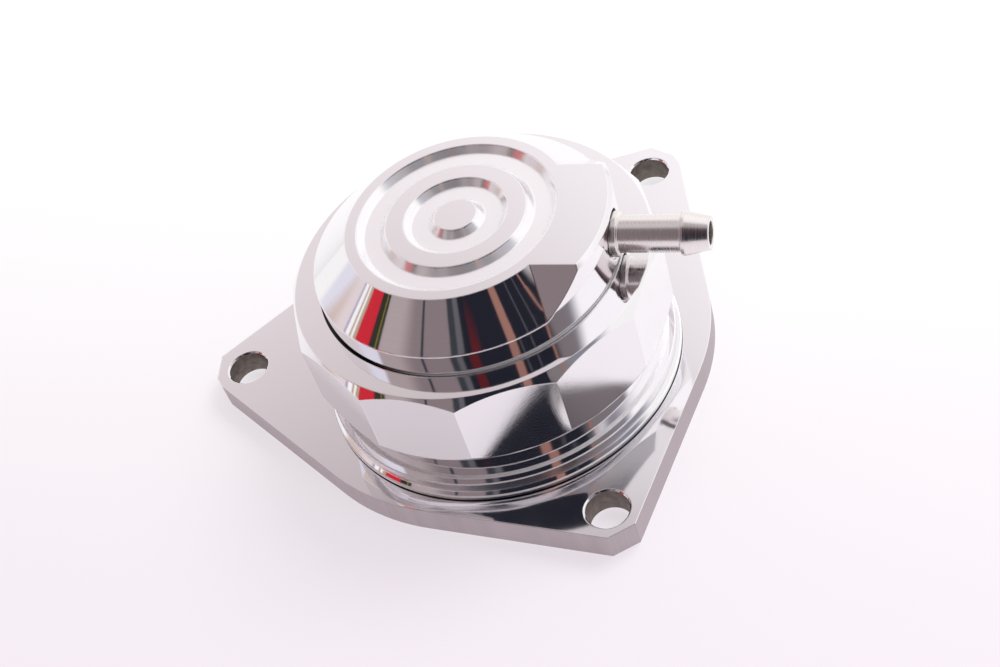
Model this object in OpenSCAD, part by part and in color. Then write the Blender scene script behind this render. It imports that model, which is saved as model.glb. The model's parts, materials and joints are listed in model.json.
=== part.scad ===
// Blow off valve with a three-lobed mounting flange and a barbed signal nipple.
// Millimetres. +Z is the valve axis, z = 0 the mounting face, +X points at the single bolt hole.

/* [Flange] */
// Thickness of the mounting plate
flange_t = 4.5; // [3:0.1:8]
// Radius of the plate between its lobes
plate_r = 34.5; // [33.5:0.1:36]
// Distance of the plate's centre behind the valve axis
plate_x = 4.5; // [0:0.1:5]
// Distance of the plate's centre to the side of the valve axis
plate_y = 0.5; // [0:0.1:2]
// Distance of the single bolt hole from the plate's centre
apex_hole_x = 40.4; // [38:0.1:44]
// Distance of the paired bolt holes behind the plate's centre
pair_hole_x = 18.95; // [16:0.05:22]
// Half the spacing of the paired bolt holes
pair_hole_y = 37.75; // [36:0.05:42]
// Bolt hole radius, clearance for M6
hole_r = 3.25; // [3.1:0.05:3.5]
// Chamfer at the mouth of each bolt hole
hole_chamfer = 0.25; // [0:0.05:0.6]
// Bore that takes the valve body's spigot
flange_bore_r = 22.5; // [20:0.1:24]
// Middle radius of the groove in the mounting face
face_groove_r = 26.2; // [25:0.1:27]
// Section radius of the face seal
face_seal_r = 0.75; // [0.5:0.05:1]

/* [Valve body] */
// Radius of the ring that seats on the flange
seat_ring_r = 28.3; // [27.8:0.1:29.5]
// Height of the ring's straight side
ring_h = 0.9; // [0.5:0.1:1.5]
// Radius of the step above the seat ring
step_r = 27.7; // [27:0.1:28.2]
// Height of the step's ledge above the flange
ledge_h = 3.2; // [2.6:0.1:4]
// Radius of the neck under the nut
neck_r = 26.4; // [25:0.1:27]
// Height of the nut's lower face above the mounting face
nut_z0 = 13.4; // [12:0.1:15]
// Height of the body's top face
body_top_z = 26.9; // [25:0.1:30]
// Number of flats on the nut
nut_sides = 12; // [8:1:16]
// Radius to the nut's corners
nut_corner_r = 28.5; // [27:0.1:30]
// Turn of the nut's corners about the axis
nut_turn = 1.4; // [0:0.1:30]
// Height of the chamfer under the nut's corners
nut_chamfer = 1.5; // [0.5:0.1:3]
// Radius where the nut's top chamfer starts
nut_top_r = 27.2; // [26:0.1:28]
// Height of the nut's top chamfer
nut_top_chamfer = 1.7; // [1:0.1:3]
// Air inlet radius
throat_r = 14; // [12:0.1:15]
// Height of the inlet's straight wall
throat_h = 3.2; // [2:0.1:3.4]
// Width of the sloping seat round the inlet
seat_w = 1.2; // [0.8:0.1:1.6]
// Piston bore radius
bore_r = 17.5; // [16:0.1:18.4]
// Height of the floor of the cap recess
cap_recess_z = 22.6; // [21.6:0.1:23]
// Vent hole radius
vent_r = 1.6; // [1:0.1:1.9]
// Number of vent holes on the rear of the neck
vent_count = 6; // [4:1:8]

/* [Cap] */
// Radius of the cap's skirt
skirt_r = 23; // [22.5:0.1:25]
// Height of the gap under the skirt
skirt_gap_h = 0.45; // [0.2:0.05:0.8]
// Depth of the gap under the skirt
skirt_gap_d = 0.8; // [0.4:0.05:1.2]
// Height of the top edge of the skirt
skirt_top_z = 30.7; // [29:0.1:32]
// Height of the cap's flat top
cap_top_z = 35.7; // [34:0.1:38]
// Radius of the flat top
disc_r = 16.7; // [15:0.1:18]
// Half width of the flat lobe over the nipple
lobe_w = 10.05; // [8:0.05:12]
// Fillet between the disc and the lobe
lobe_fillet = 5.4; // [4:0.1:7]
// Chamfer on the lobe's outer edge
lobe_chamfer = 0.6; // [0.2:0.05:1]
// Direction of the nipple about the axis
nipple_turn = 53.3; // [0:0.1:120]
// Depth of the two ring grooves in the top
groove_d = 1; // [0.5:0.05:1.2]
// Radius of the spring pocket
pocket_r = 13; // [12:0.1:14]
// Height of the pocket's ceiling
pocket_z = 33.4; // [32:0.1:34]
// Room round the piston where it lifts into the cap
lift_gap = 0.7; // [0.3:0.1:1]
// Wall of the cap's spigot
cap_wall = 2.3; // [2:0.1:2.8]
// Height of the stop that ends the lift
lift_stop_z = 29.3; // [28:0.1:30]

/* [Nipple] */
// Height of the nipple's axis
nipple_z = 31.4; // [30:0.1:32]
// Distance of its flat seat from the valve axis
nipple_seat_x = 22; // [21.5:0.1:22.5]
// Collar radius
collar_r = 3.3; // [3:0.05:3.6]
// Shaft radius
shaft_r = 2.7; // [2.4:0.05:3]
// Barb radius
barb_r = 3.15; // [3:0.05:3.5]
// Tip radius
tip_r = 2.4; // [2.1:0.05:2.6]
// Bore radius
nipple_bore_r = 1.7; // [1:0.05:1.9]
// Distance of the barb's shoulder from the valve axis
barb_x = 32.8; // [30:0.1:35]
// Distance of the tip from the valve axis
tip_x = 36.7; // [35:0.1:40]

/* [Piston and spring] */
// Running clearance of the piston in its bore
piston_gap = 0.05; // [0.02:0.01:0.1]
// Height of the piston above its seat at rest
seat_gap = 0.2; // [0.1:0.05:0.4]
// Height of the piston's top edge at rest
piston_z1 = 21; // [19:0.1:21.2]
// Height of the floor the spring stands on
piston_floor_z = 8; // [7:0.1:9]
// Wall round the piston's hollow
piston_wall = 3.1; // [2.6:0.1:4]
// Section radius of the piston seal
piston_seal_r = 0.9; // [0.7:0.05:1.1]
// Height of the guide band
band_h = 1.5; // [1:0.1:2]
// Thickness of the guide band
band_t = 1; // [0.6:0.1:1.4]
// Spring wire radius
wire_r = 1; // [0.8:0.05:1.2]
// Radius of the spring's coil centre line
coil_r = 10.6; // [9:0.1:11.5]
// Coils of the spring
coils = 5; // [4:1:7]

/* [Hidden] */
$fn = 96;
e = 0.01;
thread_gap = 0.05;
body_spigot_r = flange_bore_r - thread_gap;
lift_r = bore_r + lift_gap;
cap_recess_r = lift_r + cap_wall;
cap_spigot_r = cap_recess_r - thread_gap;
seat_z = throat_h + seat_w;
piston_z0 = seat_z + seat_gap;
piston_r = bore_r - piston_gap;
piston_hollow_r = bore_r - piston_wall;
seal_gap = 0.02;
band_gap = 0.03;
ring_chamfer = 0.3;
nut_flat_r = nut_corner_r * cos(180 / nut_sides);
cone_h = cap_top_z - skirt_top_z;
cone_s = (skirt_r - disc_r) / cone_h;
fillet_y = lobe_w + lobe_fillet;
fillet_x = sqrt(pow(disc_r + lobe_fillet, 2) - pow(fillet_y, 2));
vent_z = (flange_t + ledge_h + nut_z0) / 2;
seal_land = 0.6;
seal_z = vent_z + vent_r + seal_land + piston_seal_r;
band_z = piston_z0 + band_h;
cap_seal_r = 0.7;
cap_seal_z = (cap_recess_z + body_top_z) / 2;
stem_x = 15.5;
apex_hole = [apex_hole_x, 0];
pair_hole = [-pair_hole_x, pair_hole_y];
apex_end = [for (p = [[4.6, -2.25], [4.6, 2.25]]) apex_hole + p];
pair_end = [for (p = [[1.55, 5.15], [-0.85, 5.35], [-5.15, 3.25]]) pair_hole + p];

// Point where a line from p touches the plate's round middle
function touch(p, side) =
    let (a = atan2(p[1], p[0]) + side * acos(plate_r / norm(p)))
    [plate_r * cos(a), plate_r * sin(a)];

// A lobe of the plate, with sides that run off the round middle
module lobe(end) {
    first = touch(end[0], -1);
    last = touch(end[len(end) - 1], 1);
    linear_extrude(flange_t)
        polygon(concat([[0, 0], first], end, [last]));
}

module ring(r, section_r, z) {
    translate([0, 0, z])
        rotate_extrude()
            translate([r, 0])
                circle(section_r, $fn = 32);
}

// The plate that bolts to the pipe; the valve sits off its centre
module flange() {
    color([0.86, 0.86, 0.87])
    difference() {
        translate([-plate_x, plate_y, 0]) plate();
        translate([0, 0, -1]) cylinder(r = flange_bore_r, h = flange_t + 2);
        face_groove();
    }
}

module plate() {
    difference() {
        union() {
            cylinder(r = plate_r, h = flange_t);
            lobe(apex_end);
            lobe(pair_end);
            mirror([0, 1, 0]) lobe(pair_end);
        }
        translate(apex_hole) bolt_hole();
        translate(pair_hole) bolt_hole();
        mirror([0, 1, 0]) translate(pair_hole) bolt_hole();
    }
}

module bolt_hole() {
    translate([0, 0, -1]) cylinder(r = hole_r, h = flange_t + 2);
    translate([0, 0, flange_t - hole_chamfer])
        cylinder(r1 = hole_r, r2 = hole_r + 2 * hole_chamfer, h = 2 * hole_chamfer);
    translate([0, 0, -hole_chamfer])
        cylinder(r1 = hole_r + 2 * hole_chamfer, r2 = hole_r, h = 2 * hole_chamfer);
}

module face_groove() {
    groove_w = 2 * face_seal_r + 0.4;
    translate([0, 0, -1])
    difference() {
        cylinder(r = face_groove_r + groove_w / 2, h = 1 + 2 * face_seal_r + 0.1);
        translate([0, 0, -1]) cylinder(r = face_groove_r - groove_w / 2, h = 4 + 2 * face_seal_r);
    }
}

module face_seal() {
    color([0.04, 0.04, 0.045]) ring(face_groove_r, face_seal_r, face_seal_r + 0.05);
}

// The turned body: spigot, seat ring, neck, nut and bores
module valve_body() {
    color([0.84, 0.84, 0.86])
    difference() {
        union() {
            cylinder(r = body_spigot_r, h = flange_t + e);
            translate([0, 0, flange_t]) body_lower();
            nut();
        }
        body_bores();
        vents();
    }
}

// Seat ring, step and neck, measured up from the flange
module body_lower() {
    neck_h = nut_z0 - flange_t + e;
    rotate_extrude()
        polygon([
            [0, 0], [seat_ring_r - ring_chamfer, 0], [seat_ring_r, ring_chamfer],
            [seat_ring_r, ring_h], [step_r, ring_h + seat_ring_r - step_r],
            [step_r, ledge_h], [neck_r, ledge_h], [neck_r, neck_h], [0, neck_h]
        ]);
}

module nut() {
    corners = [for (i = [0 : nut_sides - 1])
        let (a = nut_turn + 360 * i / nut_sides)
        [nut_corner_r * cos(a), nut_corner_r * sin(a)]];
    intersection() {
        translate([0, 0, nut_z0])
            linear_extrude(body_top_z - nut_z0)
                polygon(corners);
        rotate_extrude()
            polygon([
                [0, nut_z0], [nut_flat_r, nut_z0], [nut_corner_r, nut_z0 + nut_chamfer],
                [nut_corner_r, body_top_z - nut_top_chamfer], [nut_top_r, body_top_z],
                [0, body_top_z]
            ]);
    }
}

module body_bores() {
    rotate_extrude()
        polygon([
            [0, -1], [throat_r, -1], [throat_r, throat_h], [throat_r + seat_w, seat_z],
            [bore_r, seat_z], [bore_r, cap_recess_z], [cap_recess_r, cap_recess_z],
            [cap_recess_r, body_top_z + 1], [0, body_top_z + 1]
        ]);
}

module vents() {
    for (i = [0 : vent_count - 1])
        rotate([0, 0, 170 + 24 * (i - (vent_count - 1) / 2)])
            translate([bore_r - 2, 0, vent_z])
                rotate([0, 90, 0])
                    cylinder(r = vent_r, h = seat_ring_r - bore_r + 4);
}

// The cap: spigot, skirt, cone, flat lobe and ring grooves
module cap() {
    color([0.87, 0.87, 0.88])
    difference() {
        union() {
            translate([0, 0, cap_recess_z + 0.05])
                cylinder(r = cap_spigot_r, h = body_top_z - cap_recess_z);
            rotate([0, 0, nipple_turn]) cap_head();
        }
        cap_hollow();
        top_grooves();
        cap_seal_groove();
        rotate([0, 0, nipple_turn]) nipple_port();
    }
}

module cap_head() {
    intersection() {
        union() {
            translate([0, 0, body_top_z])
                cylinder(r = skirt_r + 1, h = skirt_top_z - body_top_z);
            translate([0, 0, skirt_top_z])
                cylinder(r1 = skirt_r, r2 = disc_r, h = cone_h);
            lobe_prism();
            lobe_fillet_side();
            mirror([0, 1, 0]) lobe_fillet_side();
        }
        rotate_extrude()
            polygon([
                [0, body_top_z], [skirt_r - skirt_gap_d, body_top_z],
                [skirt_r - skirt_gap_d, body_top_z + skirt_gap_h],
                [skirt_r, body_top_z + skirt_gap_h],
                [skirt_r, cap_top_z - lobe_chamfer], [skirt_r - lobe_chamfer, cap_top_z],
                [0, cap_top_z]
            ]);
    }
}

// The lobe's flat top and its sloping flanks
module lobe_prism() {
    low_w = lobe_w + cone_s * cone_h;
    rotate([90, 0, 90])
        linear_extrude(skirt_r + 1)
            polygon([
                [-low_w, skirt_top_z], [low_w, skirt_top_z],
                [lobe_w, cap_top_z], [-lobe_w, cap_top_z]
            ]);
}

// Hollow flank that blends the lobe into the disc
module lobe_fillet_side() {
    cone_d = lobe_fillet / cone_s;
    difference() {
        translate([0, 0, skirt_top_z])
            linear_extrude(cone_h)
                polygon([[0, 0], [fillet_x, 0], [fillet_x, fillet_y]]);
        translate([fillet_x, fillet_y, cap_top_z - cone_d])
            cylinder(r1 = 0, r2 = 2 * lobe_fillet, h = 2 * cone_d);
    }
}

module cap_hollow() {
    rotate_extrude()
        polygon([
            [0, cap_recess_z - 1], [lift_r, cap_recess_z - 1], [lift_r, lift_stop_z],
            [pocket_r, lift_stop_z], [pocket_r, pocket_z], [0, pocket_z]
        ]);
}

module top_grooves() {
    floor_z = cap_top_z - groove_d;
    rotate_extrude()
        polygon([
            [3.2 - e, cap_top_z + e], [4.2, floor_z], [6.85, floor_z], [7.75 + e, cap_top_z + e]
        ]);
    rotate_extrude()
        polygon([
            [10.55 - e, cap_top_z + e], [11.55, floor_z], [14, floor_z], [14.95 + e, cap_top_z + e]
        ]);
}

module cap_seal_groove() {
    groove_w = 2 * cap_seal_r + 0.3;
    translate([0, 0, cap_seal_z - groove_w / 2])
    difference() {
        cylinder(r = cap_spigot_r + 1, h = groove_w);
        translate([0, 0, -1]) cylinder(r = cap_recess_r - 2 * cap_seal_r, h = groove_w + 2);
    }
}

module cap_seal() {
    color([0.04, 0.04, 0.045])
        ring(cap_recess_r - cap_seal_r - seal_gap / 2, cap_seal_r - seal_gap / 2, cap_seal_z);
}

module nipple_port() {
    translate([nipple_seat_x, 0, nipple_z])
        rotate([0, 90, 0])
            cylinder(r = collar_r + 0.4, h = 4);
    translate([pocket_r - 2, 0, nipple_z])
        rotate([0, 90, 0])
            cylinder(r = tip_r, h = nipple_seat_x - pocket_r + 3);
}

// Barbed nipple that takes the signal hose
module nipple() {
    seal_t = 0.4;
    color([0.72, 0.70, 0.68])
    rotate([0, 0, nipple_turn])
    translate([0, 0, nipple_z])
    rotate([0, 90, 0])
    difference() {
        rotate_extrude()
            polygon([
                [0, stem_x], [tip_r, stem_x], [tip_r, nipple_seat_x + seal_t],
                [collar_r, nipple_seat_x + seal_t], [collar_r, nipple_seat_x + 1.7],
                [shaft_r, nipple_seat_x + 1.9], [shaft_r, barb_x], [barb_r, barb_x],
                [barb_r, barb_x + 0.5], [tip_r, tip_x], [0, tip_x]
            ]);
        translate([0, 0, stem_x - 1]) cylinder(r = nipple_bore_r, h = tip_x - stem_x + 2);
    }
}

module nipple_seal() {
    color([0.03, 0.03, 0.035])
    rotate([0, 0, nipple_turn])
    translate([nipple_seat_x, 0, nipple_z])
    rotate([0, 90, 0])
    difference() {
        cylinder(r = collar_r - 0.1, h = 0.4);
        translate([0, 0, -1]) cylinder(r = tip_r, h = 3);
    }
}

// The sliding piston that opens the vents
module piston() {
    nose_r = throat_r + seat_w - seat_gap / 2;
    color([0.80, 0.79, 0.76])
    difference() {
        union() {
            translate([0, 0, piston_z0]) cylinder(r = piston_r, h = piston_z1 - piston_z0);
            translate([0, 0, piston_z0 - seat_w])
                cylinder(r1 = nose_r - seat_w, r2 = nose_r, h = seat_w + e);
        }
        translate([0, 0, piston_floor_z])
            cylinder(r = piston_hollow_r, h = piston_z1 - piston_floor_z + 1);
        piston_groove(seal_z, 2 * piston_seal_r + 0.3, 2 * piston_seal_r);
        piston_groove(band_z + band_h / 2, band_h, band_t);
    }
}

// Groove round the piston, measured in from the bore
module piston_groove(z, w, d) {
    translate([0, 0, z - w / 2])
    difference() {
        cylinder(r = piston_r + 1, h = w);
        translate([0, 0, -1]) cylinder(r = bore_r - d, h = w + 2);
    }
}

module piston_seal() {
    color([0.04, 0.04, 0.045])
        ring(bore_r - piston_seal_r - seal_gap / 2, piston_seal_r - seal_gap / 2, seal_z);
}

module guide_band() {
    color([0.35, 0.25, 0.18])
    translate([0, 0, band_z])
    difference() {
        cylinder(r = bore_r - band_gap, h = band_h);
        translate([0, 0, -1]) cylinder(r = bore_r - band_t, h = band_h + 2);
    }
}

// Return spring with closed ends, standing between the piston and the cap
module spring() {
    steps = 30;
    sides = 12;
    turns = coils + 2;
    z0 = piston_floor_z + wire_r;
    z1 = pocket_z - wire_r;
    pitch = (z1 - z0 - 4 * wire_r) / coils;
    n = turns * steps;
    points = [for (i = [0 : n])
        let (t = i / steps)
        let (z = t < 1 ? 2 * wire_r * t : t > turns - 1 ?
            2 * wire_r + pitch * coils + 2 * wire_r * (t - turns + 1) : 2 * wire_r + pitch * (t - 1))
        for (j = [0 : sides - 1])
            let (r = coil_r + wire_r * cos(360 * j / sides))
            [r * cos(360 * t), r * sin(360 * t), z0 + z + wire_r * sin(360 * j / sides) * 0.98]];
    side_faces = [for (i = [0 : n - 1])
        for (j = [0 : sides - 1])
            [i * sides + j, i * sides + (j + 1) % sides,
             (i + 1) * sides + (j + 1) % sides, (i + 1) * sides + j]];
    first_face = [for (j = [0 : sides - 1]) sides - 1 - j];
    last_face = [for (j = [0 : sides - 1]) n * sides + j];
    color([0.55, 0.56, 0.58])
        polyhedron(points, concat(side_faces, [first_face, last_face]));
}

flange();
valve_body();
cap();
nipple();
nipple_seal();
cap_seal();
face_seal();
piston();
piston_seal();
guide_band();
spring();
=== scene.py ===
# Looks of the blow off valve: camera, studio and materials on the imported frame.
# Metres, in the frame of the part: +Z is the valve axis and +X points at the single bolt hole.
import json
import bpy
from mathutils import Matrix, Vector


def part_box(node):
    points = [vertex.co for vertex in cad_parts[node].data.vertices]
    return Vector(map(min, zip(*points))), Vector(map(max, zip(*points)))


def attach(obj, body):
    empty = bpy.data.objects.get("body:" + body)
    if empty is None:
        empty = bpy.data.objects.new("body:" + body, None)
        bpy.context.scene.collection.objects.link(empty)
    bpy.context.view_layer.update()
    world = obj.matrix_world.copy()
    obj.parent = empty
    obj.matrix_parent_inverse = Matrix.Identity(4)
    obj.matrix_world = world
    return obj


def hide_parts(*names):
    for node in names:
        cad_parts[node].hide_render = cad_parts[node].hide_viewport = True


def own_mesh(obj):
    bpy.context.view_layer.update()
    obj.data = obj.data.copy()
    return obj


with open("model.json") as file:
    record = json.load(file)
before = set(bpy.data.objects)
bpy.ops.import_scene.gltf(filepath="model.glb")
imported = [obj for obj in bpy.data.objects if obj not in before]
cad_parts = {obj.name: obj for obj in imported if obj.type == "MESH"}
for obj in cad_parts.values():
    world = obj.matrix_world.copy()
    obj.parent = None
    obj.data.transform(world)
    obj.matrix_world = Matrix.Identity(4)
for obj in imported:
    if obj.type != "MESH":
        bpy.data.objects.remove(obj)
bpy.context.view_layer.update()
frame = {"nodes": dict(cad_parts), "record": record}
scene = bpy.context.scene
scene.view_settings.view_transform = "Standard"

# Camera
CAM_POS = (0.17222, -0.02954, 0.1878)
CAM_RIGHT = (0.3941, 0.88962, -0.23078)
CAM_UP = (-0.60776, 0.44062, 0.66067)
CAM_BACK = (0.68944, -0.12011, 0.71432)
FOCAL_PX = 1600.0
IMAGE_W = 1000
SENSOR_MM = 36.0
CLIP_NEAR, CLIP_FAR = 0.01, 20.0


def make_camera():
    data = bpy.data.cameras.new("camera")
    data.sensor_width = SENSOR_MM
    data.lens = FOCAL_PX / IMAGE_W * SENSOR_MM
    data.clip_start = CLIP_NEAR
    data.clip_end = CLIP_FAR
    made = bpy.data.objects.new("camera", data)
    turn = Matrix((CAM_RIGHT, CAM_UP, CAM_BACK)).transposed().to_4x4()
    made.matrix_world = Matrix.Translation(CAM_POS) @ turn
    scene.collection.objects.link(made)
    scene.camera = made


make_camera()

# Helpers for shader nodes; an input may be a socket or a number
# Sockets of the Mix node when it mixes colours
MIX_FACTOR, MIX_A, MIX_B, MIX_RESULT = 0, 6, 7, 2


def feed(tree, socket, value):
    if isinstance(value, bpy.types.NodeSocket):
        tree.links.new(value, socket)
    else:
        socket.default_value = value


def math_node(tree, operation, a, b=0.0):
    made = tree.nodes.new("ShaderNodeMath")
    made.operation = operation
    feed(tree, made.inputs[0], a)
    feed(tree, made.inputs[1], b)
    return made.outputs[0]


def dot(tree, vector, direction):
    made = tree.nodes.new("ShaderNodeVectorMath")
    made.operation = "DOT_PRODUCT"
    tree.links.new(vector, made.inputs[0])
    made.inputs[1].default_value = direction
    return made.outputs["Value"]


def remap(tree, value, low, high, to_low=0.0, to_high=1.0):
    """A smooth step from to_low, at low, to to_high, at high."""
    made = tree.nodes.new("ShaderNodeMapRange")
    made.interpolation_type = "SMOOTHSTEP"
    feed(tree, made.inputs["Value"], value)
    limits = {"From Min": low, "From Max": high, "To Min": to_low, "To Max": to_high}
    for name, number in limits.items():
        made.inputs[name].default_value = number
    return made.outputs["Result"]


def band(tree, value, low, high, soft):
    """1 where value lies between low and high, with soft edges."""
    up = remap(tree, value, low - soft, low + soft)
    down = remap(tree, value, high - soft, high + soft, 1.0, 0.0)
    return math_node(tree, "MULTIPLY", up, down)


def mix_color(tree, factor, a, b):
    made = tree.nodes.new("ShaderNodeMix")
    made.data_type = "RGBA"
    feed(tree, made.inputs[MIX_FACTOR], factor)
    feed(tree, made.inputs[MIX_A], a)
    feed(tree, made.inputs[MIX_B], b)
    return made.outputs[MIX_RESULT]


def mix_shader(tree, factor, first, second):
    made = tree.nodes.new("ShaderNodeMixShader")
    tree.links.new(factor, made.inputs["Fac"])
    tree.links.new(first.outputs[0], made.inputs[1])
    tree.links.new(second.outputs[0], made.inputs[2])
    return made


def noise(tree, vector, scale, detail):
    made = tree.nodes.new("ShaderNodeTexNoise")
    tree.links.new(vector, made.inputs["Vector"])
    made.inputs["Scale"].default_value = scale
    made.inputs["Detail"].default_value = detail
    return made.outputs["Fac"]


def lines(tree, along, scale, detail=3.0):
    """Noise that changes only with one measure, as turning marks do."""
    made = tree.nodes.new("ShaderNodeTexNoise")
    made.noise_dimensions = "1D"
    tree.links.new(along, made.inputs["W"])
    made.inputs["Scale"].default_value = scale
    made.inputs["Detail"].default_value = detail
    return made.outputs["Fac"]


def bump(tree, height, distance, normal):
    made = tree.nodes.new("ShaderNodeBump")
    made.inputs["Distance"].default_value = distance
    tree.links.new(height, made.inputs["Height"])
    tree.links.new(normal, made.inputs["Normal"])
    return made.outputs["Normal"]


# Studio
# A white room with a pinkish ceiling. The side behind the camera is dark and striped, and shows
# only in the metal. Bearings are in degrees about the camera's up axis, and a rise is the part of
# a ray along that axis. The camera itself sees plain white.
PURE_WHITE = (1.0, 1.0, 1.0, 1.0)
WHITE = (1.0, 0.98, 0.985, 1.0)
BRIGHT = (1.12, 1.09, 1.11, 1.0)
CEILING_FAR = (0.885, 0.815, 0.83, 1.0)
CEILING_OVER = (0.48, 0.41, 0.43, 1.0)
CEILING_TOP = (0.66, 0.62, 0.64, 1.0)
SAND = (0.67, 0.54, 0.50, 1.0)
BEIGE = (0.80, 0.69, 0.70, 1.0)
VIOLET = (0.45, 0.41, 0.56, 1.0)
TAN = (0.50, 0.38, 0.29, 1.0)
RED = (0.62, 0.028, 0.045, 1.0)
DARK_RED = (0.11, 0.016, 0.02, 1.0)
OLIVE = (0.035, 0.035, 0.028, 1.0)
YELLOW = (0.30, 0.26, 0.04, 1.0)
MAUVE = (0.44, 0.365, 0.37, 1.0)
MAUVE_DARK = (0.25, 0.20, 0.21, 1.0)
DUSK = (0.045, 0.048, 0.06, 1.0)
SLATE = (0.13, 0.125, 0.14, 1.0)
NAVY = (0.017, 0.018, 0.028, 1.0)
PEACH = (0.34, 0.17, 0.14, 1.0)
BROWN = (0.22, 0.19, 0.20, 1.0)
STEEL_BLUE = (0.26, 0.25, 0.30, 1.0)
LAVENDER = (0.80, 0.78, 0.88, 1.0)
GREY = (0.30, 0.28, 0.33, 1.0)

# Heights of a ray over which the walls turn into the ceiling, and the ceiling darkens and lightens
WALL_TO_CEILING = (0.35, 0.6)
FAR_TO_OVER = (0.60, 0.82)
OVER_TO_TOP = (0.86, 0.96)
# Part of a ray along +Y over which the ceiling brightens towards the right
CEILING_TO_RIGHT = (0.05, 0.38)

# Bearing where each colour of the striped side starts, half the width of its edge, and the colour
WALL_EDGES = (
    (-108.0, 3.0, SAND),
    (-95.0, 4.0, BEIGE),
    (-87.5, 0.4, VIOLET),
    (-86.0, 0.4, WHITE),
    (-83.5, 0.4, TAN),
    (-82.3, 0.4, WHITE),
    (-81.0, 0.4, TAN),
    (-79.0, 0.3, RED),
    (-70.5, 0.4, OLIVE),
    (-66.8, 0.15, YELLOW),
    (-66.3, 0.15, OLIVE),
    (-64.5, 0.5, MAUVE),
    (-50.0, 5.0, MAUVE_DARK),
    (-42.0, 0.3, DUSK),
    (-40.6, 0.3, MAUVE_DARK),
    (-27.0, 0.6, DUSK),
    (-23.5, 0.6, SLATE),
    (-20.5, 0.7, NAVY),
    (9.0, 0.2, SLATE),
    (9.4, 0.2, NAVY),
    (14.0, 0.2, SLATE),
    (14.4, 0.2, NAVY),
    (23.0, 2.5, BROWN),
    (32.0, 4.0, STEEL_BLUE),
    (50.0, 6.0, WHITE),
)
# Leaning strips: bearing at no rise and half width; they lean by LEAN degrees
LEAN = 22.0
STRIPS = ((6.5, 2.2), (27.0, 0.6))
STRIP_SOFT = 0.25
# Bearings and rises of parts of the room: low, high and softness
STRIPED_SPAN, STRIPED_RISE = (-112.0, 62.0, 3.0), (-0.8, 0.47, 0.06)
PATCH_SPAN, PATCH_RISE = (-17.0, -12.5, 0.6), (-0.1, 0.15, 0.02)
UPPER_SPAN, UPPER_RISE = (-5.0, 28.0, 5.0), (0.5, 0.78, 0.05)
# Pale cloth above the coloured things on the left: the bearings where it ends, the rises where it starts
CLOTH_END, CLOTH_START = (-64.0, -62.0), (0.25, 0.29)


def zone(tree, bearing, rise, span, rises):
    """1 inside a window of bearings and rises."""
    return math_node(tree, "MULTIPLY", band(tree, bearing, *span), band(tree, rise, *rises))


def striped_side(tree, bearing, rise):
    """Colour of the things behind the camera."""
    colour = WHITE
    for start, soft, tint in WALL_EDGES:
        colour = mix_color(tree, remap(tree, bearing, start - soft, start + soft), colour, tint)
    leaning = math_node(tree, "ADD", bearing, math_node(tree, "MULTIPLY", rise, LEAN))
    for middle, half in STRIPS:
        strip = band(tree, leaning, middle - half, middle + half, STRIP_SOFT * half)
        colour = mix_color(tree, strip, colour, PEACH)
    patch = zone(tree, bearing, rise, PATCH_SPAN, PATCH_RISE)
    colour = mix_color(tree, patch, colour, DARK_RED)
    cloth = math_node(tree, "MULTIPLY", remap(tree, bearing, *CLOTH_END, 1.0, 0.0),
                      remap(tree, rise, *CLOTH_START))
    return mix_color(tree, cloth, colour, LAVENDER)


def make_world():
    world = bpy.data.worlds.new("studio")
    scene.world = world
    world.use_nodes = True
    tree = world.node_tree
    tree.nodes.clear()
    ray = tree.nodes.new("ShaderNodeTexCoord").outputs["Generated"]
    side = dot(tree, ray, CAM_RIGHT)
    rise = dot(tree, ray, CAM_UP)
    near = dot(tree, ray, CAM_BACK)
    height = dot(tree, ray, (0, 0, 1))
    to_right = dot(tree, ray, (0, 1, 0))
    bearing = math_node(tree, "DEGREES", math_node(tree, "ARCTAN2", side, near))
    ceiling = mix_color(tree, remap(tree, height, *FAR_TO_OVER), CEILING_FAR, CEILING_OVER)
    ceiling = mix_color(tree, remap(tree, height, *OVER_TO_TOP), ceiling, CEILING_TOP)
    ceiling = mix_color(tree, remap(tree, to_right, *CEILING_TO_RIGHT), ceiling, BRIGHT)
    colour = mix_color(tree, remap(tree, height, *WALL_TO_CEILING), WHITE, ceiling)
    striped = zone(tree, bearing, rise, STRIPED_SPAN, STRIPED_RISE)
    colour = mix_color(tree, striped, colour, striped_side(tree, bearing, rise))
    colour = mix_color(tree, zone(tree, bearing, rise, UPPER_SPAN, UPPER_RISE), colour, GREY)
    room = tree.nodes.new("ShaderNodeBackground")
    tree.links.new(colour, room.inputs["Color"])
    plain = tree.nodes.new("ShaderNodeBackground")
    plain.inputs["Color"].default_value = PURE_WHITE
    path = tree.nodes.new("ShaderNodeLightPath")
    mixed = mix_shader(tree, path.outputs["Is Camera Ray"], room, plain)
    out = tree.nodes.new("ShaderNodeOutputWorld")
    tree.links.new(mixed.outputs[0], out.inputs["Surface"])


make_world()

# Soft lights: name, place, size and watts; all aim at LIGHT_AIM
LIGHT_AIM = (0, 0, 0.01)
LIGHTS = (
    ("key", (-0.10, 0.40, 0.55), 0.35, 3.0),
    ("fill", (0.35, 0.25, 0.45), 0.5, 1.0),
)


def area_light(name, place, size, watts):
    data = bpy.data.lights.new(name, "AREA")
    data.size = size
    data.energy = watts
    made = bpy.data.objects.new(name, data)
    made.location = place
    aim = Vector(LIGHT_AIM) - Vector(place)
    made.rotation_euler = aim.to_track_quat("-Z", "Y").to_euler()
    made.visible_glossy = False
    scene.collection.objects.link(made)


for light in LIGHTS:
    area_light(*light)

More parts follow.
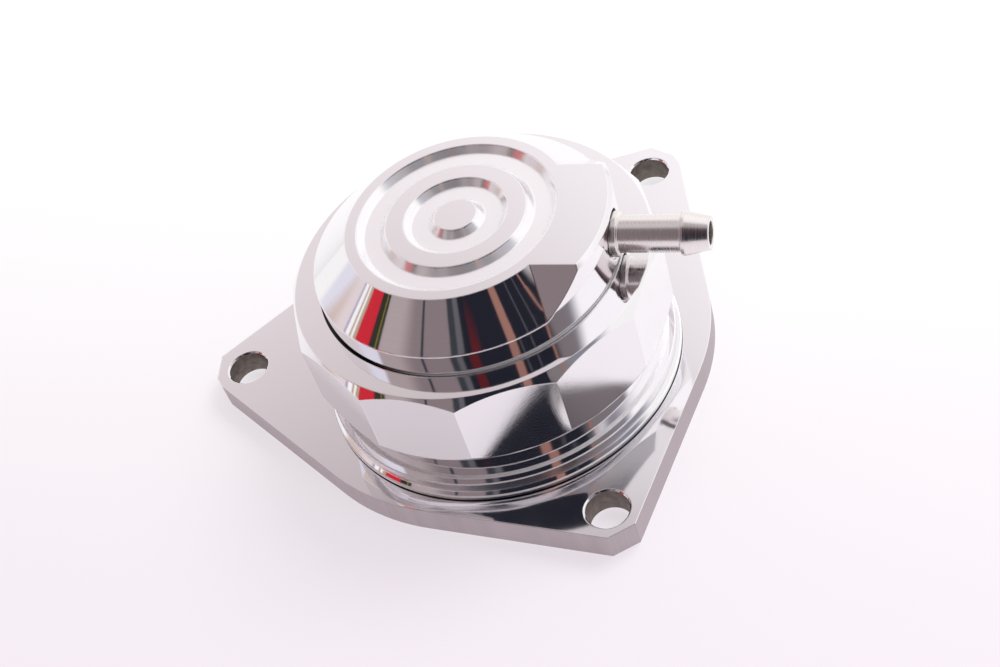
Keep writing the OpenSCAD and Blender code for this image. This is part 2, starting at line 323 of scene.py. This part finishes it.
# Floor: white at the back, with painted shade, darker and faintly lavender, in front. Most of what the
# camera and the metal see of it glows by itself, and the rest is lit, which keeps a soft shadow.
FLOOR_SIZE = 6.0
FLOOR_Z = -0.0002
FLOOR_FRONT_SHADE = (0.91, 0.85, 0.905, 1.0)
FLOOR_GLOW = 0.72
FLOOR_ROUGH = 0.6
FLOOR_SPECULAR = 0.2
# Direction to the front, and the distances along it over which the painted shade comes in
FLOOR_AHEAD = (0.81, -0.59, 0)
FLOOR_SHADED = (-0.07, 0.06)


def make_floor():
    bpy.ops.mesh.primitive_plane_add(size=FLOOR_SIZE, location=(0, 0, FLOOR_Z))
    floor = bpy.context.object
    floor.name = "floor"
    mat = bpy.data.materials.new("floor_white")
    mat.use_nodes = True
    tree = mat.node_tree
    bsdf = tree.nodes["Principled BSDF"]
    bsdf.inputs["Roughness"].default_value = FLOOR_ROUGH
    bsdf.inputs["Specular IOR Level"].default_value = FLOOR_SPECULAR
    place = tree.nodes.new("ShaderNodeTexCoord").outputs["Object"]
    ahead = dot(tree, place, FLOOR_AHEAD)
    # painted shade: the floor darkens and turns lavender towards the front left
    tint = mix_color(tree, remap(tree, ahead, *FLOOR_SHADED), PURE_WHITE, FLOOR_FRONT_SHADE)
    tree.links.new(tint, bsdf.inputs["Base Color"])
    glow = tree.nodes.new("ShaderNodeEmission")
    tree.links.new(tint, glow.inputs["Color"])
    path = tree.nodes.new("ShaderNodeLightPath")
    seen = math_node(tree, "MAXIMUM", path.outputs["Is Camera Ray"], path.outputs["Is Glossy Ray"])
    seen = math_node(tree, "MAXIMUM", seen, path.outputs["Is Transmission Ray"])
    shown = mix_shader(tree, math_node(tree, "MULTIPLY", seen, FLOOR_GLOW), bsdf, glow)
    # from below the floor is clear, so that the underside can be looked at
    clear = tree.nodes.new("ShaderNodeBsdfTransparent")
    below = tree.nodes.new("ShaderNodeNewGeometry").outputs["Backfacing"]
    sided = mix_shader(tree, below, shown, clear)
    tree.links.new(sided.outputs[0], tree.nodes["Material Output"].inputs["Surface"])
    floor.data.materials.append(mat)


make_floor()

# Places on the part
FLANGE_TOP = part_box("flange")[1].z
BODY_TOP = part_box("valve_body")[1].z
CAP_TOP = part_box("cap")[1].z
SKIRT_R = -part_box("cap")[0].y
MOUNTS = {mount["name"]: mount for mount in frame["record"]["mounts"]}
NIPPLE_AXIS = MOUNTS["hose_barb"]["axis"]
HOLE_R = MOUNTS["single_bolt"]["dims"]["r_mm"] / 1000
APEX_X, APEX_Y = MOUNTS["single_bolt"]["pos_m"][:2]
PAIR_X, PAIR_Y = MOUNTS["pair_bolts"]["pos_m"][:2]
PAIR_HALF = MOUNTS["pair_bolts"]["dims"]["spacing_y_mm"] / 2000
HOLES = ((APEX_X, APEX_Y), (PAIR_X, PAIR_Y + PAIR_HALF), (PAIR_X, PAIR_Y - PAIR_HALF))
# Valve body: seat ring, step above it, neck, and the nut with the Y of its two front-left corners
RING_R, RING_TOP = 0.0283, 0.0054
STEP_R, STEP_TOP = 0.0277, 0.0077
NECK_R = 0.0264
NUT_LOW = 0.0134
FLATS_R = (0.0274, 0.04, 0.00002)
CORNER_FRONT_Y, CORNER_LEFT_Y = -0.0136, -0.0240
# Cap: top of the gap under the skirt, top of the skirt, and the radii that the ring grooves span
GAP_TOP = 0.02735
SKIRT_TOP = 0.0307
GROOVES_R = (0.0026, 0.0156, 0.0001)
# Usual width of a change of finish
HAIR = 0.0001

# Materials
# Radius of the rounded look of edges
EDGE_R, GROOVE_EDGE_R, RIM_EDGE_R = 0.00022, 0.00035, 0.0004
BEVEL_SAMPLES = 6
# Middle part of a noise, where its value mostly lies
NOISE_SPAN = (0.3, 0.7)
SMUDGE_SCALE, SMUDGE_DETAIL = 160.0, 3.0
# Turning marks: how fine they are, and how they go on from flat to upright faces
MARKS_SCALE, MARKS_PER_HEIGHT = 9000.0, 0.7

ALUMINIUM = (0.91, 0.90, 0.915, 1.0)
ALUMINIUM_DARK = (0.89, 0.88, 0.895, 1.0)
ALUMINIUM_LIGHT = (0.93, 0.92, 0.935, 1.0)
SHADE = (0.02, 0.02, 0.022, 1.0)
# Roughness of a polished, wiped face, and the depth of its turning marks
POLISHED = (0.035, 0.06)
POLISHED_DEPTH = 0.0000002


class Metal:
    """A metal with rounded-looking edges; the measures of the surface point are sockets.
    colour and rough are its plain look, which color() and rough() then vary over the surface."""

    def __init__(self, name, colour, rough):
        self.mat = bpy.data.materials.new(name)
        self.mat.use_nodes = True
        self.tree = self.mat.node_tree
        self.bsdf = self.tree.nodes["Principled BSDF"]
        self.bsdf.inputs["Metallic"].default_value = 1.0
        self.bsdf.inputs["Base Color"].default_value = colour
        self.bsdf.inputs["Roughness"].default_value = rough
        coord = self.tree.nodes.new("ShaderNodeTexCoord")
        self.place = coord.outputs["Object"]
        split = self.tree.nodes.new("ShaderNodeSeparateXYZ")
        self.tree.links.new(self.place, split.inputs[0])
        self.x, self.y, self.z = split.outputs
        self.radius = self.from_axis(0, 0)
        # 1 on a level face and 0 on an upright one
        self.level = math_node(self.tree, "ABSOLUTE", dot(self.tree, coord.outputs["Normal"], (0, 0, 1)))
        self.bevel = self.tree.nodes.new("ShaderNodeBevel")
        self.bevel.samples = BEVEL_SAMPLES
        self.bevel.inputs["Radius"].default_value = EDGE_R
        self.normal = self.bevel.outputs["Normal"]

    def from_axis(self, x, y):
        """Distance of the point from the upright line through x, y."""
        dx = math_node(self.tree, "SUBTRACT", self.x, x)
        dy = math_node(self.tree, "SUBTRACT", self.y, y)
        squares = [math_node(self.tree, "MULTIPLY", d, d) for d in (dx, dy)]
        return math_node(self.tree, "SQRT", self.plus(*squares))

    def above(self, value, limit, soft=HAIR):
        """0 up to the limit, rising to 1 over soft."""
        return remap(self.tree, value, limit, limit + soft)

    def below(self, value, limit, soft=HAIR):
        """1 up to the limit, falling to 0 over soft."""
        return remap(self.tree, value, limit, limit + soft, 1.0, 0.0)

    def fade(self, value, low, high):
        """1 up to low, falling to 0 at high."""
        return remap(self.tree, value, low, high, 1.0, 0.0)

    def within(self, value, low, high, soft):
        return band(self.tree, value, low, high, soft)

    def mix(self, factor, a, b):
        return mix_color(self.tree, factor, a, b)

    def plus(self, a, b):
        return math_node(self.tree, "ADD", a, b)

    def most(self, *values):
        return self.joined("MAXIMUM", values)

    def times(self, *values):
        return self.joined("MULTIPLY", values)

    def joined(self, operation, values):
        total = values[0]
        for value in values[1:]:
            total = math_node(self.tree, operation, total, value)
        return total

    def color(self, value):
        feed(self.tree, self.bsdf.inputs["Base Color"], value)

    def rough(self, value):
        feed(self.tree, self.bsdf.inputs["Roughness"], value)

    def metallic(self, dulled, least):
        """Bare metal, down to least where dulled is 1."""
        feed(self.tree, self.bsdf.inputs["Metallic"], remap(self.tree, dulled, 0.0, 1.0, 1.0, least))

    def smudged(self, low, high):
        """Roughness that drifts a little, as on a wiped surface."""
        drift = noise(self.tree, self.place, SMUDGE_SCALE, SMUDGE_DETAIL)
        return remap(self.tree, drift, *NOISE_SPAN, low, high)

    def turned_marks(self):
        across = self.plus(self.radius, self.times(self.z, MARKS_PER_HEIGHT))
        return lines(self.tree, across, MARKS_SCALE)

    def carve(self, height, distance):
        self.normal = bump(self.tree, height, distance, self.normal)

    def tip(self, axis, amount):
        """Turns the shading normal toward an axis, X or Z, by a slope."""
        slope = self.tree.nodes.new("ShaderNodeCombineXYZ")
        self.tree.links.new(amount, slope.inputs[axis])
        total = self.tree.nodes.new("ShaderNodeVectorMath")
        total.operation = "ADD"
        self.tree.links.new(self.normal, total.inputs[0])
        self.tree.links.new(slope.outputs[0], total.inputs[1])
        unit = self.tree.nodes.new("ShaderNodeVectorMath")
        unit.operation = "NORMALIZE"
        self.tree.links.new(total.outputs[0], unit.inputs[0])
        self.normal = unit.outputs[0]

    def done(self):
        self.tree.links.new(self.normal, self.bsdf.inputs["Normal"])
        return self.mat


# Valve body. The nut's front flats and the neck reflect as if they looked down by these slopes.
FLAT_TIP, NECK_TIP = 0.15, 0.08
BODY_UPRIGHT = (0.15, 0.3)
# Height and radius of the bright worn edges, half their width and softness, and how metallic they are
WORN_EDGES = ((0.01345, 0.0276), (STEP_TOP, STEP_R), (RING_TOP, RING_R), (STEP_TOP, NECK_R))
WORN_W, WORN_SOFT, WORN_METALLIC = 0.00016, 0.00003, 0.15
# Satin grain of the flats, and the roughness that the flats and the foot add
GRAIN_SCALE, GRAIN_DETAIL, GRAIN_DEPTH = 5200.0, 3.0, 0.000008
FLAT_ROUGH, FOOT_ROUGH = 0.04, 0.2
# Painted shade that greys the flats on the left; the leftmost takes this share of it
FLAT_SHADE_GREY = (0.73, 0.71, 0.72, 1.0)
LEFT_SHARE = 0.5
# Painted shade line under the skirt at the left: its width there, and the Y over which it thins and
# fades
SHADE_LINE_W = 0.0003
SHADE_LINE_THINS, SHADE_LINE_FADES = (-0.0228, -0.014), (-0.0205, -0.0145)


def body_metal():
    """Polished turned aluminium; the nut's flats are satin."""
    made = Metal("polished_body", ALUMINIUM, rough=0.05)
    tree = made.tree
    upright = made.fade(made.level, *BODY_UPRIGHT)
    flats = made.times(upright, made.within(made.radius, *FLATS_R),
                       made.within(made.z, NUT_LOW, BODY_TOP - HAIR, HAIR))
    foot = made.times(upright, made.below(made.z, STEP_TOP + 2 * HAIR, 2 * HAIR),
                      made.above(made.radius, NECK_R + HAIR))
    rough = made.plus(made.smudged(*POLISHED), made.times(flats, FLAT_ROUGH))
    made.rough(made.plus(rough, made.times(foot, FOOT_ROUGH)))

    # colour: marks, and painted shade on the left flats, in a line under the skirt and at the joint on
    # the flange
    marks = made.turned_marks()
    tint = made.mix(marks, ALUMINIUM_DARK, ALUMINIUM_LIGHT)
    # painted shade: the flats left of the front corner are greyed, most on the leftmost
    flat_shade = made.times(flats, made.below(made.y, CORNER_FRONT_Y - HAIR),
                      remap(tree, made.y, CORNER_LEFT_Y - 6 * HAIR, CORNER_LEFT_Y, LEFT_SHARE, 1.0))
    tint = made.mix(flat_shade, tint, FLAT_SHADE_GREY)
    on_top = made.above(made.z, BODY_TOP - 4 * HAIR)
    # painted shade: a dark line on the body's top next to the skirt, widest at the left
    width = remap(tree, made.y, *SHADE_LINE_THINS, SHADE_LINE_W, 0.0)
    inside = math_node(tree, "SUBTRACT", made.radius, width)
    shade_line = made.times(made.below(inside, SKIRT_R - 0.2 * HAIR, 0.8 * HAIR), on_top,
                      made.fade(made.y, *SHADE_LINE_FADES))
    # painted shade: a dark line where the body meets the flange
    joint_shade = made.times(made.below(made.z, FLANGE_TOP + 3 * HAIR, 0.4 * HAIR),
                       made.above(made.radius, RING_R - 4 * HAIR))
    made.color(made.mix(made.most(shade_line, joint_shade), tint, SHADE))

    # less mirror-like on the worn edges and in the slot under the skirt
    slot = made.times(made.below(made.radius, SKIRT_R, 0.4 * HAIR), on_top)
    edges = [made.times(made.within(made.z, z - WORN_W, z + WORN_W, WORN_SOFT),
                        made.within(made.radius, radius - WORN_W, radius + 2 * WORN_W, WORN_SOFT))
             for z, radius in WORN_EDGES]
    made.metallic(made.most(slot, *edges), WORN_METALLIC)

    grain = noise(tree, made.place, GRAIN_SCALE, GRAIN_DETAIL)
    made.carve(made.times(grain, flats), GRAIN_DEPTH)
    made.carve(marks, POLISHED_DEPTH)
    front = made.times(flats, made.above(made.y, CORNER_FRONT_Y))
    neck = made.times(made.within(made.z, STEP_TOP + HAIR, NUT_LOW - HAIR, HAIR / 2),
                      made.below(made.radius, NECK_R, HAIR / 2))
    made.tip("Z", made.plus(made.times(front, -FLAT_TIP), made.times(neck, -NECK_TIP)))
    return made.done()


# Cap: the Y over which the shade painted in its gap fades, and the added roughness of the gap and the
# grooves
GAP_SHADE_FADES = (-0.021, -0.012)
GAP_ROUGH, GROOVE_ROUGH = 0.4, 0.1
GROOVE_METALLIC = 0.68


def cap_metal():
    """Polished turned aluminium; the gap under the skirt is dull, with shade painted dark in it at the
    left.
    """
    made = Metal("polished_cap", ALUMINIUM, rough=0.05)
    tree = made.tree
    grooves = made.times(made.within(made.radius, *GROOVES_R), made.above(made.z, CAP_TOP - 12 * HAIR))
    rim = made.below(made.z, SKIRT_TOP + 5 * HAIR)
    edge = made.plus(EDGE_R, made.times(grooves, GROOVE_EDGE_R - EDGE_R))
    edge = made.plus(edge, made.times(rim, RIM_EDGE_R - EDGE_R))
    tree.links.new(edge, made.bevel.inputs["Radius"])
    # painted shade: the gap under the skirt is dark at the left, fading to the front
    shaded_gap = made.times(made.below(made.radius, SKIRT_R - HAIR, 0.6 * HAIR),
                     made.below(made.z, GAP_TOP + 0.2 * HAIR, 0.3 * HAIR),
                     made.fade(made.y, *GAP_SHADE_FADES))
    marks = made.turned_marks()
    made.color(made.mix(shaded_gap, made.mix(marks, ALUMINIUM_DARK, ALUMINIUM_LIGHT), SHADE))
    sunk = made.times(grooves, made.below(made.z, CAP_TOP - 2 * HAIR, 1.5 * HAIR))
    rough = made.plus(made.smudged(*POLISHED), made.times(shaded_gap, GAP_ROUGH))
    made.rough(made.plus(rough, made.times(sunk, GROOVE_ROUGH)))
    made.metallic(sunk, GROOVE_METALLIC)
    made.carve(marks, POLISHED_DEPTH)
    return made.done()


# Flange. Its lobe by the single hole reflects as if it looked forward by this slope, which comes
# in and goes down to LOBE_END along X, and fades along Y.
LOBE_TIP, LOBE_END = 0.19, 0.45
LOBE_STARTS, LOBE_SINKS, LOBE_FADES = (0.014, 0.026), (0.029, 0.042), (0.012, 0.026)
FLANGE_UPRIGHT, FLANGE_LEVEL = (0.3, 0.6), (0.97, 0.99)
FLANGE_POLISHED, MILLED_ROUGH = (0.05, 0.08), 0.52
MILLED_SCALE, MILLED_DEPTH = 5000.0, 0.000003
MILLED_DARK, MILLED_LIGHT = (0.50, 0.45, 0.46, 1.0), (0.64, 0.58, 0.60, 1.0)
DRILLED_SCALE, DRILLED_DETAIL = 900.0, 4.0
HOLE_SHADE_DARK, HOLE_SHADE_LIGHT = (0.10, 0.08, 0.07, 1.0), (0.40, 0.35, 0.32, 1.0)


def flange_metal():
    """Polished top, satin milled sides, and drilled holes whose walls carry painted shade, dark and
    streaked.
    """
    made = Metal("flange_aluminium", ALUMINIUM, rough=0.06)
    tree = made.tree
    sides = made.fade(made.level, *FLANGE_UPRIGHT)
    in_holes = [made.below(made.from_axis(x, y), HOLE_R) for x, y in HOLES]
    # painted shade: the walls of the holes are dark, in streaks
    shaded_holes = made.times(made.most(*in_holes), sides)
    milled = lines(tree, math_node(tree, "SUBTRACT", made.x, made.y), MILLED_SCALE)
    tint = made.mix(sides, ALUMINIUM, made.mix(milled, MILLED_DARK, MILLED_LIGHT))
    streaks = noise(tree, made.place, DRILLED_SCALE, DRILLED_DETAIL)
    made.color(made.mix(shaded_holes, tint, made.mix(streaks, HOLE_SHADE_DARK, HOLE_SHADE_LIGHT)))
    made.rough(made.plus(made.smudged(*FLANGE_POLISHED), made.times(sides, MILLED_ROUGH)))
    made.carve(made.times(milled, sides), MILLED_DEPTH)
    lobe = made.times(remap(tree, made.x, *LOBE_STARTS), remap(tree, made.x, *LOBE_SINKS, 1.0, LOBE_END),
                      made.fade(made.y, *LOBE_FADES))
    made.tip("X", made.times(remap(tree, made.level, *FLANGE_LEVEL), lobe, LOBE_TIP))
    return made.done()


NIPPLE_SCALE, NIPPLE_DEPTH = 7000.0, 0.0000006
NIPPLE_ROUGH = (0.2, 0.32)
STAINLESS = (0.7, 0.66, 0.64, 1.0)
STAINLESS_DARK, STAINLESS_LIGHT = (0.80, 0.76, 0.74, 1.0), (0.97, 0.94, 0.92, 1.0)


def stainless():
    """Stainless with turning marks round the nipple."""
    made = Metal("stainless", STAINLESS, rough=0.16)
    marks = lines(made.tree, dot(made.tree, made.place, NIPPLE_AXIS), NIPPLE_SCALE)
    made.color(made.mix(marks, STAINLESS_DARK, STAINLESS_LIGHT))
    made.rough(remap(made.tree, marks, *NOISE_SPAN, *NIPPLE_ROUGH))
    made.carve(marks, NIPPLE_DEPTH)
    return made.done()


MACHINED_DEPTH = 0.000001
MACHINED_SPREAD = 0.2


def machined(name, dark, light, rough):
    """Plain turned metal of the inner pieces."""
    made = Metal(name, light, rough)
    marks = made.turned_marks()
    made.color(made.mix(marks, dark, light))
    made.rough(made.smudged(rough * (1 - MACHINED_SPREAD), rough * (1 + MACHINED_SPREAD)))
    made.carve(marks, MACHINED_DEPTH)
    return made.done()


MOULDED_SCALE, MOULDED_DETAIL, MOULDED_DEPTH = 2500.0, 3.0, 0.000008


def moulded(name, dark, light, rough):
    """Rubber or plastic with a fine moulded grain."""
    mat = bpy.data.materials.new(name)
    mat.use_nodes = True
    tree = mat.node_tree
    bsdf = tree.nodes["Principled BSDF"]
    bsdf.inputs["Roughness"].default_value = rough
    place = tree.nodes.new("ShaderNodeTexCoord").outputs["Object"]
    grain = noise(tree, place, MOULDED_SCALE, MOULDED_DETAIL)
    tree.links.new(mix_color(tree, grain, dark, light), bsdf.inputs["Base Color"])
    flat = tree.nodes.new("ShaderNodeNewGeometry").outputs["Normal"]
    tree.links.new(bump(tree, grain, MOULDED_DEPTH, flat), bsdf.inputs["Normal"])
    return mat


# Darker and lighter tint of the inner pieces
RUBBER_TINTS = ((0.008, 0.008, 0.009, 1.0), (0.02, 0.02, 0.022, 1.0))
BAND_TINTS = ((0.10, 0.06, 0.035, 1.0), (0.15, 0.09, 0.05, 1.0))
PISTON_TINTS = ((0.70, 0.69, 0.67, 1.0), (0.84, 0.83, 0.81, 1.0))
WIRE_TINTS = ((0.38, 0.38, 0.40, 1.0), (0.56, 0.56, 0.58, 1.0))

RUBBER = moulded("seal_black", *RUBBER_TINTS, rough=0.55)
LOOKS = {
    "flange": flange_metal(),
    "valve_body": body_metal(),
    "cap": cap_metal(),
    "nipple": stainless(),
    "nipple_seal": RUBBER,
    "cap_seal": RUBBER,
    "face_seal": RUBBER,
    "piston": machined("machined_aluminium", *PISTON_TINTS, rough=0.25),
    "piston_seal": RUBBER,
    "guide_band": moulded("band_brown", *BAND_TINTS, rough=0.5),
    "spring": machined("spring_wire", *WIRE_TINTS, rough=0.3),
}
for name, look in LOOKS.items():
    data = frame["nodes"][name].data
    data.materials.clear()
    data.materials.append(look)


# Spring
def make_spring():
    """A copy of the CAD spring, hung on the housing body in place of the hidden CAD spring."""
    piece = bpy.data.objects.new("return_spring", frame["nodes"]["spring"].data.copy())
    scene.collection.objects.link(piece)
    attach(piece, "housing")
    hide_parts("spring")
    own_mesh(piece)


make_spring()
